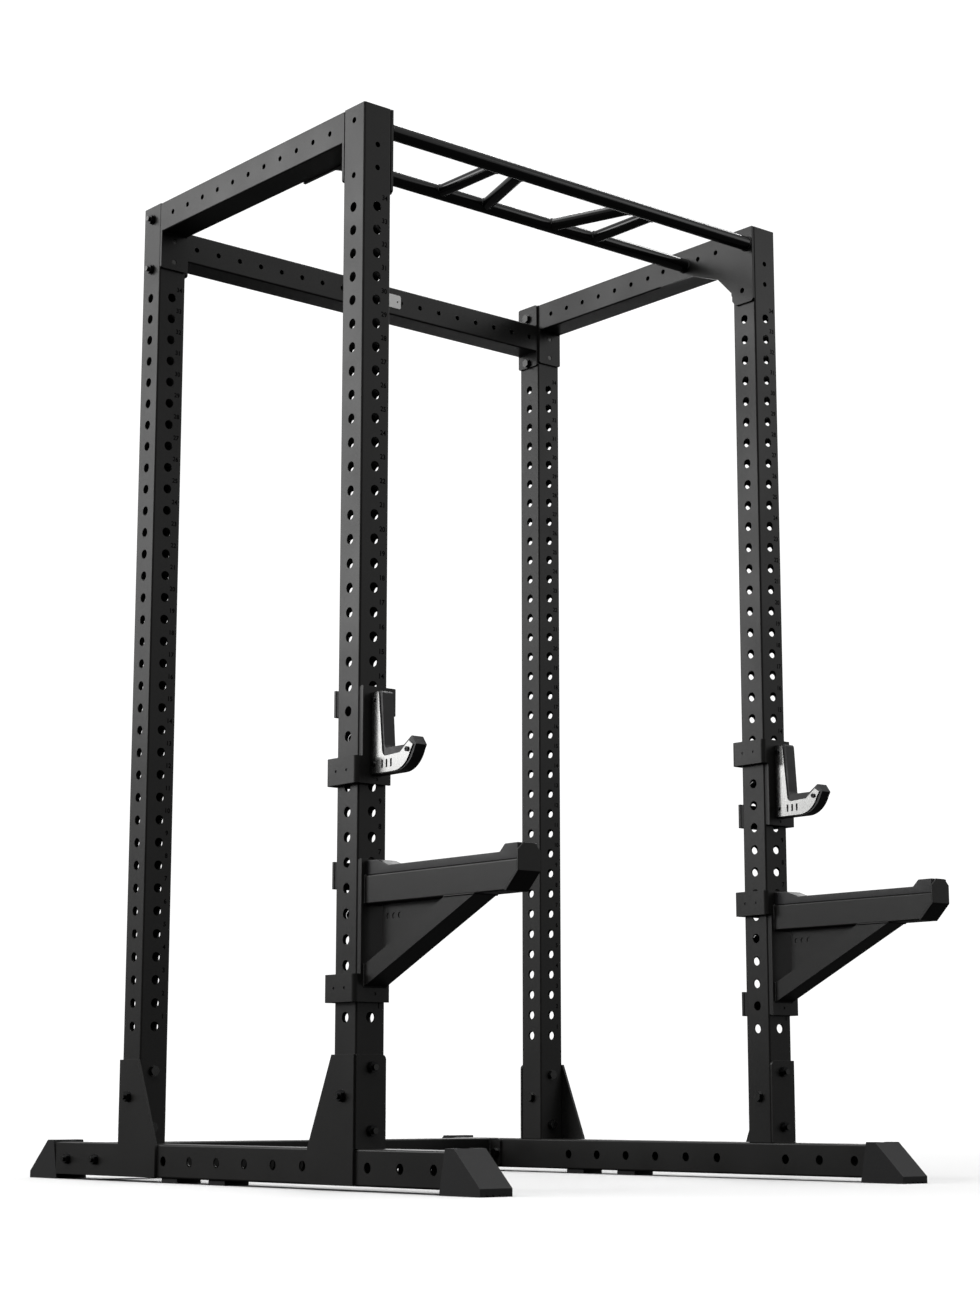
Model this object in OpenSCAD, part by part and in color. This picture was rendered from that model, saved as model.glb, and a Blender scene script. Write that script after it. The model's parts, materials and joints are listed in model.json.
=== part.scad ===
// Power cage: four drilled uprights on two base rails, tied by bolted beams,
// with a multi-grip pull-up bar, two roll-in J-cups and two roll-in spotter arms.
// Origin: on the floor, in the middle of the whole object's length and width.
// +X is right, -Y is the front, +Z is up.

/* [Frame] */
// Distance between the centres of the left and right uprights
frame_w = 1150; // [960:10:1400]
// Distance between the centres of the front and rear uprights
frame_d = 770; // [640:10:960]
// Overall height above the floor
frame_h = 2200; // [1900:50:2700]
// Length of the base rails along the floor, between the feet's toes
base_l = 1594; // [1500:2:1920]

/* [Tube] */
// Outer width of the square tube
tube = 70; // [60:1:84]
// Wall of the square tube
tube_wall = 3; // [2:0.5:4]
// Outer corner radius of the square tube
tube_r = 4; // [3.5:0.5:6]
// Thickness of the bolted plates
plate_t = 6; // [4:0.5:8]

/* [Hole pattern] */
// Diameter of the numbered holes
hole_d = 21; // [18:0.5:26]
// Spacing of the numbered holes
hole_pitch = 50; // [50:5:75]
// Height of the lowest numbered hole
hole_first = 330; // [320:5:400]
// Length at the top of an upright that is kept clear of numbered holes
hole_clear_top = 210; // [190:5:260]
// Diameter of the small holes along the beams
small_d = 12; // [10:0.5:14]
// Spacing of the small holes along the beams
small_pitch = 60; // [50:5:80]
// Spacing of the holes along the base rails
rail_pitch = 100; // [80:5:120]

/* [Fasteners] */
// Diameter of the frame bolts
bolt_d = 12; // [10:1:16]
// Gap round a frame bolt in its hole
bolt_gap = 0.5; // [0.3:0.1:1]
// Width across flats of the frame bolts
bolt_af = 19; // [18:1:24]
// Height of a bolt head or nut
bolt_head_h = 9; // [6:1:13]
// Length of bolt that stands out of its nut
bolt_proud = 6; // [2:1:10]

/* [Pull-up bar] */
// Diameter of the two long bars
bar_d = 33; // [28:1:40]
// Diameter of the four cross grips
grip_d = 28; // [25:1:33]
// Distance from the front bar to the rear bar
bar_gap = 206; // [160:2:260]
// Distance of the outer, straight grips from the middle
grip_outer_x = 232; // [215:1:320]
// Distance of the inner, angled grips from the middle, at the front bar
grip_front_x = 165; // [140:1:175]
// Distance of the inner, angled grips from the middle, at the rear bar
grip_rear_x = 98; // [70:1:120]

/* [J-cups] */
// Numbered hole that holds the J-cup's pin
cup_hole = 12; // [9:1:24]
// Width of the plastic hook
cup_w = 27; // [22:1:40]
// Distance from the upright's axis to the hook's tip
cup_reach = 190; // [180:1:220]
// Height of the hook's leg above the pin
cup_leg_up = 84; // [75:1:90]
// Thickness of the metal cheeks
cheek_t = 2.5; // [2:0.5:4]

/* [Spotter arms] */
// Numbered hole that holds the spotter arm's pin
arm_hole = 5; // [5:1:5]
// Distance from the upright's axis to the end of the arm's beam
arm_reach = 501; // [440:1:620]
// Width of the arm's beam
arm_w = 54; // [50:1:64]
// Height of the arm's beam
arm_h = 56; // [46:1:60]
// Height of the diagonal brace, square to its length
brace_h = 38; // [30:1:44]
// Thickness of the plastic strip on the beam
strip_t = 16; // [10:1:20]

/* [Roll-in brackets] */
// Gap round the locking pin in a numbered hole
pin_gap = 0.5; // [0.4:0.1:1.5]
// Thickness of the bent bracket plate
bracket_t = 6.5; // [6:0.5:10]
// Thickness of the front liner
liner_front_t = 6.5; // [3:0.5:7]
// Thickness of the side and rear liners
liner_side_t = 9; // [1.5:0.5:12]
// Running gap between the liners and the upright
liner_gap = 0.5; // [0.4:0.1:1]
// Height of each ear that wraps the upright
ear_h = 54; // [40:1:54]

/* [Feet] */
// Height of the rails above the floor
sole_t = 10; // [6:1:14]
// Length of a moulded foot along the rail
foot_l = 117; // [100:1:130]
// How far a foot stands proud of its rail at each side and on top
foot_proud = 3.5; // [2:0.5:6]

/* [Hidden] */
$fn = 48;

// Colours
powder = "#2b2b2b";
zinc_black = "#1c1c1e";
silver = "#c8c8c8";
plastic = "#161616";
rubber = "#1f1f1f";
white = "#f2f2f2";

// Frame
eps = 1;                           // how far a cutting shape runs past the face it cuts
ht = tube / 2;
half_w = frame_w / 2;
half_d = frame_d / 2;
bolt_hole_d = bolt_d + 2 * bolt_gap;
rail_top = sole_t + tube;
rail_mid = sole_t + ht;
hole_count = floor((frame_h - hole_clear_top - hole_first) / hole_pitch) + 1;
function hole_z(n) = hole_first + (n - 1) * hole_pitch;

// Top of the frame: heights are measured down from the top
side_bolt_drops = [31, 151];       // bolts through the uprights' sides
face_bolt_drops = [tube + 16, tube + 66];  // screws through the uprights' front and rear walls
side_plate_drop = tube + 85;       // bottom of the side beams' end plates
rear_plate_drop = 162;             // bottom of the rear beam's end plates
rear_beam_drop = 91;               // axis of the rear beam
side_beam_z = frame_h - ht;
rear_beam_z = frame_h - rear_beam_drop;
plate_corner_r = 10;               // rounded corner of a plate
screw_d = small_d - 1;              // hidden cap screws of the side beams
screw_head_d = 18;
flange_d = bolt_af + 5;             // washer face of a bolt or nut
flange_t = 2;
screw_head_h = 10;
plug_depth = 18;

// Base: heights above the floor and distances along the rail
base_face_bolts = [114, 234.5];    // bolts through the face plates
base_side_bolt = 180;              // bolt through the side plate
base_bracket_top = 259;
base_bracket_lip = tube + 2;       // width of the side plate at its top
base_bracket_skirt = tube + 78;    // width of the side plate where it covers the rail
rear_beam_back = 186;              // rear uprights' axis to the rear base beam's axis
rear_bolt_half = 59;               // rear base beam's axis to each of its bolts
rear_end_plate_l = 146;            // length of the rear base beam's end plates
rail_front_holes = [75, 175, 275]; // front uprights' axis to the holes in front of them
pad_l = 60;
pad_places = [232, 55];            // rubber pads under the rail, behind the middle
foot_back = base_l / 2 - foot_l;   // where a foot's sole starts
foot_toe_h = 15;
foot_slope_l = 75;                 // toe to the start of the flat top
foot_lap = 100;                    // toe to the back edge of the top
foot_cover = 77;                   // toe to the end of the rail inside the foot
foot_notch_d = 7;                  // four small grooves under the toe's edge
foot_notch_gap = tube * 0.21;
rail_l = base_l - 2 * foot_cover;
weld = 1.5;                        // overlap of two plates that are welded edge to edge

// Pull-up bar
bar_front_y = -half_d - 16;
bar_rear_y = bar_front_y + bar_gap;
bar_z = frame_h - 40;
bar_half = half_w - ht - plate_t;
bar_wall = 3;
pull_plate_rear = 110;             // middle of the cage to the plate's rear end
pull_plate_low = 183;              // top of the frame to the plate's lowest edge

// Roll-in brackets: x across the upright, u forward from its axis, v up from the pin
liner_in = ht + liner_gap;                     // inner face of every liner
ear_in = liner_in + liner_side_t;              // inner face of an ear and of its rear lip
ear_out = ear_in + bracket_t;
front_in = liner_in + liner_front_t;           // rear face of the front plate
front_out = front_in + bracket_t;              // front face of the front plate
bend_in = 3;
bend_out = bend_in + bracket_t;
lip_reach = ht - 3;                            // how far a rear lip reaches past the axis
liner_inset = 1.5;
pin_d = hole_d - 2 * pin_gap;
pin_end = ht - 1;
pin_chamfer = 2;
ear_screw_d = 6;
ear_screw_y = [-17, 17];                       // places of an ear's screws, front to rear

// J-cup outline
cup_low = -97;
cup_high = 97;
cup_z = hole_z(cup_hole);
cup_bottom = -80.5;
cheek_inset = 3.5;                             // front plate to the cheek's rear edge
cheek_screws = [
  [front_out + 10.5, 68], [front_out + 10.5, -60], [cup_reach - 25, -41]];
cheek_screw_d = 6;
cheek_head_d = 10;
cheek_head_h = 3;

// Spotter arm outline
arm_low = -171.5;
arm_high = 105;
arm_z = hole_z(arm_hole);
beam_low = 16;                                 // underside of the beam above the pin
beam_high = beam_low + arm_h;
beam_wall = 3;
beam_r = 3;
mitre = 36;                                    // height and length of the slanted end
cap_t = 4;
cap_chamfer = 13;
cap_top = beam_high + 30;
strip_inset = 3;
strip_high = beam_high + strip_t + 14;         // raised ends of the strip
brace_slope = 25.4;
brace_foot = -142.5;                           // lowest point of the brace, from the pin
brace_rise = brace_h / cos(brace_slope);       // height of the brace, measured upright
web_t = 6;
web_gap = 27;                                  // front plate to the web's rear edge
web_mark_d = 12;
web_mark_depth = 1.5;

// Place of the cage in the object's frame
front_reach = max(base_l / 2, half_d + arm_reach + cap_t);  // middle of the cage to the front end
cage_y = (front_reach - base_l / 2) / 2;                    // origin to the middle of the cage

function arc(c, r, a0, a1, n = 10) =
  [for (i = [0:n]) c + r * [cos(a0 + (a1 - a0) * i / n), sin(a0 + (a1 - a0) * i / n)]];

// ---------- shapes used by many parts ----------

// Rectangle from one corner to the opposite one, with rounded corners
module round_rect(low, high, r) {
  translate([low[0] + r, low[1]]) square([high[0] - low[0] - 2 * r, high[1] - low[1]]);
  translate([low[0], low[1] + r]) square([high[0] - low[0], high[1] - low[1] - 2 * r]);
  for (x = [low[0] + r, high[0] - r], y = [low[1] + r, high[1] - r]) translate([x, y]) circle(r);
}

module tube_section() {
  difference() {
    round_rect([-ht, -ht], [ht, ht], tube_r);
    tube_bore_section();
  }
}

module tube_bore_section() {
  inner = ht - tube_wall;
  round_rect([-inner, -inner], [inner, inner], tube_r - tube_wall);
}

// Square tube along +Z
module tube_up(length) linear_extrude(length) tube_section();

// Extrudes a shape drawn as [x, z] along Y, from y0 to y1
module along_y(y0, y1) translate([0, y1, 0]) rotate([90, 0, 0]) linear_extrude(y1 - y0) children();

// Extrudes a shape drawn as [y, z] along X, from x0 to x1
module along_x(x0, x1) translate([x0, 0, 0]) rotate([90, 0, 90]) linear_extrude(x1 - x0) children();

// Cutting or solid rods along X and Y, centred on a point
module rod_x(p, d, length) translate(p) rotate([0, 90, 0]) cylinder(d = d, h = length, center = true);
module rod_y(p, d, length) translate(p) rotate([90, 0, 0]) cylinder(d = d, h = length, center = true);

module hexagon(af, h) cylinder(d = af / cos(30), h = h, $fn = 6);

// Bolt along +Z: its head is below z = 0, its shank passes a stack and stands out of a nut
module hex_bolt(stack) {
  translate([0, 0, -bolt_head_h]) hexagon(bolt_af, bolt_head_h);
  translate([0, 0, -flange_t]) cylinder(d = flange_d, h = flange_t);
  cylinder(d = bolt_d, h = stack + bolt_head_h + bolt_proud);
}

// Nut of the same bolt, seated on the far side of the stack
module hex_nut(stack) translate([0, 0, stack]) difference() {
  union() {
    hexagon(bolt_af, bolt_head_h);
    cylinder(d = flange_d, h = flange_t);
  }
  translate([0, 0, -eps]) cylinder(d = bolt_d, h = bolt_head_h + 2 * eps);
}

// Cap screw along +Z: its head is below z = 0
module cap_screw(length) {
  difference() {
    translate([0, 0, -screw_head_h]) cylinder(d = screw_head_d, h = screw_head_h);
    translate([0, 0, -screw_head_h - eps]) hexagon(screw_d * 0.8, screw_head_h / 2 + eps);
  }
  cylinder(d = screw_d, h = length);
}

// Puts the cage, drawn around its own middle, in the object's frame
module in_place() translate([0, cage_y, 0]) children();

// ---------- frame ----------

// Upright at side sx (-1 left, 1 right) and end sy (-1 front, 1 rear)
module upright(sx, sy) color(powder) translate([sx * half_w, sy * half_d, 0]) {
  difference() {
    translate([0, 0, rail_top]) tube_up(frame_h - rail_top);
    for (n = [1:hole_count]) {
      rod_x([0, 0, hole_z(n)], hole_d, tube + 2 * eps);
      rod_y([0, 0, hole_z(n)], hole_d, tube + 2 * eps);
    }
    for (drop = side_bolt_drops) rod_x([0, 0, frame_h - drop], bolt_hole_d, tube + 2 * eps);
    for (drop = face_bolt_drops) rod_y([0, 0, frame_h - drop], small_d, tube + 2 * eps);
    for (z = base_face_bolts) rod_y([0, 0, z], bolt_hole_d, tube + 2 * eps);
    rod_x([0, 0, base_side_bolt], bolt_hole_d, tube + 2 * eps);
  }
}

module upright_top_plugs() color(plastic)
  for (sx = [-1, 1], sy = [-1, 1])
    translate([sx * half_w, sy * half_d, frame_h - plug_depth])
      linear_extrude(plug_depth) tube_bore_section();

// Base rail at side sx, with its cross holes
module base_rail(sx) color(powder) difference() {
  translate([sx * half_w, 0, rail_mid]) rotate([90, 0, 0])
    translate([0, 0, -rail_l / 2]) tube_up(rail_l);
  for (y = rail_hole_places()) rod_x([sx * half_w, y, rail_mid], hole_d, tube + 2 * eps);
  for (y = rear_rail_bolt_places()) rod_x([sx * half_w, y, rail_mid], bolt_hole_d, tube + 2 * eps);
}

// Rail holes between the base brackets, spread from the middle, and those in front of the cage
function rail_hole_places() = concat(
  [for (i = [0:9], s = [-1, 1]) let (y = (i + 0.5) * rail_pitch)
    if (y < half_d + ht - base_bracket_skirt - hole_d / 2) s * y],
  [for (d = rail_front_holes) -half_d - d]);
function rear_rail_bolt_places() =
  [for (s = [-1, 1]) half_d + rear_beam_back + s * rear_bolt_half];

// Moulded foot over the end of a rail
module foot(sx, sy) color(rubber) translate([sx * half_w, 0, 0]) mirror([0, sy < 0 ? 1 : 0, 0]) {
  w = ht + foot_proud;
  toe = base_l / 2;
  top = rail_top + foot_proud + 1.5;
  difference() {
    along_x(-w, w) polygon([
      [foot_back, 0], [toe, 0], [toe, foot_toe_h],
      [toe - foot_slope_l, top], [toe - foot_lap, top]]);
    translate([0, toe - foot_cover, rail_mid]) rotate([90, 0, 0])
      linear_extrude(foot_l) round_rect([-ht, -ht], [ht, ht], tube_r);
    translate([-w / 2, toe - foot_lap - eps, top - 3]) cube([w, foot_lap - foot_slope_l + eps, 3 + eps]);
    for (i = [-1.5:1.5]) rod_y([i * foot_notch_gap, toe, 0], foot_notch_d, 10);
  }
}

module base_pads() color(rubber)
  for (sx = [-1, 1], y = pad_places)
    translate([sx * half_w - ht + 5, y - pad_l / 2, 0]) cube([tube - 10, pad_l, sole_t]);

// Bracket that ties an upright to its rail: a face plate on the outward face and a side plate
module base_bracket(sx, sy) color(powder) translate([sx * half_w, sy * half_d, 0])
  mirror([sx < 0 ? 1 : 0, 0, 0]) mirror([0, sy < 0 ? 1 : 0, 0]) difference() {
    union() {
      // local x points out of the cage's side, local y out of its front or rear
      along_y(ht, ht + plate_t) face_plate_outline();
      along_x(ht, ht + plate_t) side_plate_outline(sy);
    }
    for (z = base_face_bolts) rod_y([0, ht, z], bolt_hole_d, 4 * plate_t);
    rod_x([ht, 0, base_side_bolt], bolt_hole_d, 4 * plate_t);
    if (sy > 0)
      for (y = rear_rail_bolt_places()) rod_x([ht, y - half_d, rail_mid], bolt_hole_d, 4 * plate_t);
  }

module face_plate_outline() {
  translate([-ht, rail_top]) square([tube + weld, base_bracket_top - rail_top - plate_corner_r]);
  translate([-ht + plate_corner_r, rail_top])
    square([tube + weld - plate_corner_r, base_bracket_top - rail_top]);
  translate([-ht + plate_corner_r, base_bracket_top - plate_corner_r]) circle(plate_corner_r);
}

module side_plate_outline(sy) {
  edge = ht + weld;
  polygon([
    [edge, sole_t + 1], [edge, base_bracket_top], [edge - base_bracket_lip, base_bracket_top],
    [edge - base_bracket_skirt, rail_top], [edge - base_bracket_skirt, sole_t + 1]]);
  if (sy > 0)
    translate([0, sole_t + 1]) square([foot_back - half_d, tube - 2]);
}

// Side beam with its welded end plates
module side_beam(sx) color(powder) translate([sx * half_w, 0, 0]) {
  length = frame_d - tube - 2 * plate_t;
  difference() {
    translate([0, length / 2, side_beam_z]) rotate([90, 0, 0]) tube_up(length);
    for (y = side_hole_places()) rod_x([0, y, side_beam_z], small_d, tube + 2 * eps);
  }
  for (s = [-1, 1]) difference() {
    translate([0, s * (length + plate_t) / 2, 0]) along_y(-plate_t / 2, plate_t / 2)
      round_rect([-ht, frame_h - side_plate_drop], [ht, frame_h], plate_corner_r / 2);
    for (drop = face_bolt_drops)
      rod_y([0, s * length / 2, frame_h - drop], small_d, 4 * plate_t);
  }
}
function side_hole_places() =
  [for (i = [-9:9]) if (abs(i * small_pitch) < half_d - ht - plate_t - 30) i * small_pitch];

// Rear top beam with its welded end plates
module rear_top_beam() color(powder) translate([0, half_d, 0]) {
  length = frame_w - tube - 2 * plate_t;
  difference() {
    translate([-length / 2, 0, rear_beam_z]) rotate([0, 90, 0]) tube_up(length);
    for (x = rear_hole_places()) rod_y([x, 0, rear_beam_z], small_d, tube + 2 * eps);
  }
  for (s = [-1, 1]) difference() {
    translate([s * (length + plate_t) / 2, 0, 0]) along_x(-plate_t / 2, plate_t / 2)
      round_rect([-ht, frame_h - rear_plate_drop], [ht, frame_h], plate_corner_r / 2);
    for (drop = side_bolt_drops)
      rod_x([s * length / 2, 0, frame_h - drop], bolt_hole_d, 4 * plate_t);
  }
}
function rear_hole_places() =
  [for (i = [-14:13]) let (x = (i + 0.5) * small_pitch)
    if (abs(x) < half_w - ht - plate_t - 20) x];

// Rear base beam between the rails
module rear_base_beam() color(powder) translate([0, half_d + rear_beam_back, 0]) {
  length = frame_w - tube - 2 * plate_t;
  translate([-length / 2, 0, rail_mid]) rotate([0, 90, 0]) tube_up(length);
  for (s = [-1, 1]) difference() {
    translate([s * (length + plate_t) / 2, 0, 0]) along_x(-plate_t / 2, plate_t / 2)
      round_rect([-rear_end_plate_l / 2, sole_t], [rear_end_plate_l / 2, rail_top], plate_corner_r);
    for (t = [-1, 1])
      rod_x([s * length / 2, t * rear_bolt_half, rail_mid], bolt_hole_d, 4 * plate_t);
  }
}

// ---------- pull-up bar ----------

module long_bar(y) color(powder) difference() {
  rod_x([0, y, bar_z], bar_d, 2 * bar_half);
  rod_x([0, y, bar_z], bar_d - 2 * bar_wall, 2 * bar_half + 2 * eps);
}

// Cross grips: the ends are coped to the long bars
module pull_up_grips() color(powder) difference() {
  for (s = [-1, 1]) {
    grip(s * grip_outer_x, s * grip_outer_x);
    grip(s * grip_front_x, s * grip_rear_x);
  }
  for (y = [bar_front_y, bar_rear_y]) rod_x([0, y, bar_z], bar_d, 2 * bar_half);
}

module grip(front_x, rear_x) {
  run = rear_x - front_x;
  length = sqrt(run * run + bar_gap * bar_gap);
  translate([front_x, bar_front_y, bar_z]) rotate([0, 0, -atan2(run, bar_gap)])
    rotate([-90, 0, 0]) difference() {
      cylinder(d = grip_d, h = length);
      translate([0, 0, -eps]) cylinder(d = grip_d - 2 * bar_wall, h = length + 2 * eps);
    }
}

// Plate at each end of the pull-up bar, drawn as [y, z]
module pull_up_plate(sx) color(powder) difference() {
  along_x(sx < 0 ? -bar_half - plate_t : bar_half, sx < 0 ? -bar_half : bar_half + plate_t)
    polygon([
      [-half_d - ht, frame_h - pull_plate_low + 6], [-half_d - ht + 6, frame_h - pull_plate_low],
      [-half_d + 22, frame_h - pull_plate_low], [-half_d + 33, frame_h - pull_plate_low + 13],
      [-half_d + 33, frame_h - pull_plate_low + 32], [-half_d + 79, frame_h - 104],
      [bar_rear_y - 24, frame_h - tube - 2], [-pull_plate_rear, frame_h - tube - 2],
      [-pull_plate_rear, frame_h], [-half_d - ht, frame_h]]);
  for (drop = side_bolt_drops)
    rod_x([sx * bar_half, -half_d, frame_h - drop], bolt_hole_d, 4 * plate_t);
  for (y = side_hole_places())
    if (y < -pull_plate_rear && abs(y - bar_rear_y) > bar_d / 2 + small_d)
      rod_x([sx * bar_half, y, side_beam_z], small_d, 4 * plate_t);
}

// Blank plate on the rear top beam
module name_plate() color(white)
  translate([0, half_d - ht, rear_beam_z]) along_y(-2, 0)
    difference() {
      round_rect([-88, -17], [88, 17], 5);
      for (x = [-78, 78]) translate([x, 0]) circle(2.5);
    }

// ---------- frame fasteners ----------

// Places one child for each bolt of the base, pointing out of the cage
module at_base_face_bolts()
  for (sx = [-1, 1], sy = [-1, 1], z = base_face_bolts)
    translate([sx * half_w, sy * (half_d - ht), z]) rotate([-90 * sy, 0, 0]) children();
module at_base_side_bolts()
  for (sx = [-1, 1], sy = [-1, 1])
    translate([sx * (half_w - ht), sy * half_d, base_side_bolt]) rotate([0, 90 * sx, 0]) children();
module at_rear_rail_bolts()
  for (sx = [-1, 1], y = rear_rail_bolt_places())
    translate([sx * (half_w - ht - plate_t), y, rail_mid]) rotate([0, 90 * sx, 0]) children();
module at_rear_top_bolts()
  for (sx = [-1, 1], drop = side_bolt_drops)
    translate([sx * (half_w - ht - plate_t), half_d, frame_h - drop]) rotate([0, 90 * sx, 0]) children();

module base_bolts() color(zinc_black) {
  at_base_face_bolts() hex_bolt(tube + plate_t);
  at_base_side_bolts() hex_bolt(tube + plate_t);
  at_rear_rail_bolts() hex_bolt(tube + 2 * plate_t);
}

module base_nuts() color(zinc_black) {
  at_base_face_bolts() hex_nut(tube + plate_t);
  at_base_side_bolts() hex_nut(tube + plate_t);
  at_rear_rail_bolts() hex_nut(tube + 2 * plate_t);
}

module top_bolts() color(zinc_black) {
  at_rear_top_bolts() hex_bolt(tube + plate_t);
  // cap screws hidden inside the uprights, screwed into the side beams' end plates
  for (sx = [-1, 1], sy = [-1, 1], drop = face_bolt_drops)
    translate([sx * half_w, sy * (half_d - ht + tube_wall), frame_h - drop])
      rotate([90 * sy, 0, 0]) cap_screw(tube_wall + plate_t - 1);
  // cap screws hidden inside the front uprights, screwed into the pull-up plates
  for (sx = [-1, 1])
    translate([sx * (half_w - ht + tube_wall), -half_d, frame_h - side_bolt_drops[0]])
      rotate([0, -90 * sx, 0]) cap_screw(tube_wall + plate_t - 1);
}

module top_nuts() color(zinc_black) at_rear_top_bolts() hex_nut(tube + plate_t);

// ---------- roll-in brackets ----------

// Puts a left-hand attachment, drawn with y = -u, on its upright; the right-hand one is mirrored
module on_upright(sx, z)
  in_place() translate([sx * half_w, -half_d, z]) mirror([sx > 0 ? 1 : 0, 0, 0]) children();
module on_cup(sx) on_upright(sx, cup_z) children();
module on_arm(sx) on_upright(sx, arm_z) children();

// Strap that wraps the front, one side and the rear of an upright, seen from above
module strap_section(lip) difference() {
  round_rect([-ear_out, -front_out], [ear_out, ear_out], bend_out);
  round_rect([-ear_in, -front_in], [ear_in, ear_in], bend_in);
  translate([-2 * tube, -2 * tube]) square([2 * tube - lip, 4 * tube]);
}

// Bent plate: a full-height front plate, an upper ear on the inner side, a lower ear outside
module roll_in_bracket(low, high, screw_v) color(powder) difference() {
  union() {
    translate([-ht, -front_out, low]) cube([2 * ht, bracket_t, high - low]);
    translate([0, 0, high - ear_h]) linear_extrude(ear_h) strap_section(lip_reach);
    translate([0, 0, low]) linear_extrude(ear_h) mirror([1, 0]) strap_section(lip_reach);
  }
  for (y = ear_screw_y) {
    rod_x([ear_out, y, high - ear_h / 2], ear_screw_d, 2 * bracket_t + eps);
    rod_x([-ear_out, y, low + ear_h / 2], ear_screw_d, 2 * bracket_t + eps);
  }
  rod_y([0, -front_out, screw_v], ear_screw_d, 2 * bracket_t + eps);
}

// Plastic liners between a bracket and its upright
module roll_in_liners(low, high) color(plastic) {
  difference() {
    translate([-ht + liner_inset, -front_in, low + liner_inset])
      cube([tube - 2 * liner_inset, liner_front_t, high - low - 2 * liner_inset]);
    rod_y([0, -front_in, 0], pin_d + 1, 4 * liner_front_t);
  }
  ear_liners(high - ear_h);
  mirror([1, 0, 0]) ear_liners(low);
}

module ear_liners(z) translate([0, 0, z + liner_inset]) {
  h = ear_h - 2 * liner_inset;
  translate([liner_in, -ht + bend_in, 0]) cube([liner_side_t, tube - 2 * bend_in, h]);
  translate([-lip_reach + liner_inset, liner_in, 0])
    cube([lip_reach - liner_inset + ht - bend_in, liner_side_t, h]);
}

module roll_in_pin() color(silver) translate([0, -front_in, 0]) rotate([-90, 0, 0]) {
  length = front_in + pin_end - pin_chamfer;
  cylinder(d = pin_d, h = length);
  translate([0, 0, length])
    rotate_extrude() polygon([
      [0, 0], [pin_d / 2, 0], [pin_d / 2 - pin_chamfer, pin_chamfer], [0, pin_chamfer]]);
}

// Countersunk screws that hold the ears' liners
module liner_screws(low, high, screw_v) color(zinc_black) {
  length = bracket_t - 1.5;
  for (y = ear_screw_y) {
    rod_x([ear_in + length / 2, y, high - ear_h / 2], ear_screw_d, length);
    rod_x([-ear_in - length / 2, y, low + ear_h / 2], ear_screw_d, length);
  }
  rod_y([0, -front_in - length / 2, screw_v], ear_screw_d, length);
}

// ---------- J-cups ----------

// Side outline of the hook as [u, v]: leg, seat and upturned tip
module hook_outline() {
  tip = cup_reach;
  polygon(concat(
    [[front_out, cup_bottom]],
    arc([tip - 62, cup_bottom + 61], 61, -90, -20),
    [[tip, -33], [tip - 12, -16], [tip - 15, -16], [tip - 38, -31]],
    arc([front_out + 50, -23], 8, -90, -174, 6),
    [[front_out + 34.5, cup_leg_up - 4], [front_out + 30.5, cup_leg_up], [front_out, cup_leg_up]]));
}

// Side outline of a cheek plate, inside the hook's outline
module cheek_outline() {
  tip = cup_reach;
  back = front_out + cheek_inset;
  difference() {
    polygon(concat(
      [[back, cup_bottom + 1.5]],
      arc([tip - 66, cup_bottom + 55.5], 54, -90, -22),
      [[tip - 8, -33.5], [tip - 20.5, -25], [tip - 48, -45]],
      arc([back + 46, -35], 12, -90, -174, 6),
      [[back + 22, cup_leg_up - 4], [back + 20, cup_leg_up - 2], [back, cup_leg_up - 2]]));
    // three plain slots
    for (i = [0:2]) translate([back + 32 + 14 * i, -70]) square([5, 16]);
  }
}

module cup_bracket() roll_in_bracket(cup_low, cup_high, cup_low + 9);
module cup_liners() roll_in_liners(cup_low, cup_high);

module cup_hook() color(plastic) difference() {
  side_slab(cup_w) hook_outline();
  cheek_screw_rods(cheek_screw_d + 0.4, cup_w + 2 * eps);
}

module cup_cheeks() color(silver) difference() {
  for (s = [-1, 1]) translate([s * (cup_w + cheek_t) / 2, 0, 0]) side_slab(cheek_t) cheek_outline();
  cheek_screw_rods(cheek_screw_d + 0.4, cup_w + 4 * cheek_t);
}

// Slab of a given width across the upright, from an outline drawn as [u, v]
module side_slab(w) mirror([0, 1, 0]) along_x(-w / 2, w / 2) children();

module cheek_screw_rods(d, length) for (p = cheek_screws) rod_x([0, -p[0], p[1]], d, length);

module cup_screws() color(zinc_black) {
  stack = cup_w + 2 * cheek_t;
  cheek_screw_rods(cheek_screw_d, stack);
  for (s = [-1, 1], p = cheek_screws)
    translate([s * stack / 2, -p[0], p[1]]) rotate([0, 90 * s, 0]) difference() {
      cylinder(d = cheek_head_d, h = cheek_head_h);
      translate([0, 0, cheek_head_h / 2]) hexagon(cheek_screw_d * 0.7, cheek_head_h);
    }
  liner_screws(cup_low, cup_high, cup_low + 9);
}

// ---------- spotter arms ----------

// Outline of the space behind the arm's slanted end, as [u, v]
module mitre_outline() polygon([
  [front_out, beam_low], [arm_reach - mitre, beam_low], [arm_reach, beam_low + mitre],
  [arm_reach, beam_high], [front_out, beam_high]]);

module arm_bracket() roll_in_bracket(arm_low, arm_high, arm_low + 16);
module arm_liners() roll_in_liners(arm_low, arm_high);
module arm_screws() liner_screws(arm_low, arm_high, arm_low + 16);

module arm_beam() color(powder) intersection() {
  translate([0, -front_out, (beam_low + beam_high) / 2]) rotate([90, 0, 0])
    linear_extrude(arm_reach - front_out) difference() {
      round_rect([-arm_w / 2, -arm_h / 2], [arm_w / 2, arm_h / 2], beam_r);
      round_rect([-arm_w / 2 + beam_wall, -arm_h / 2 + beam_wall],
                 [arm_w / 2 - beam_wall, arm_h / 2 - beam_wall], beam_r / 3);
    }
  side_slab(arm_w) mitre_outline();
}

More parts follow.
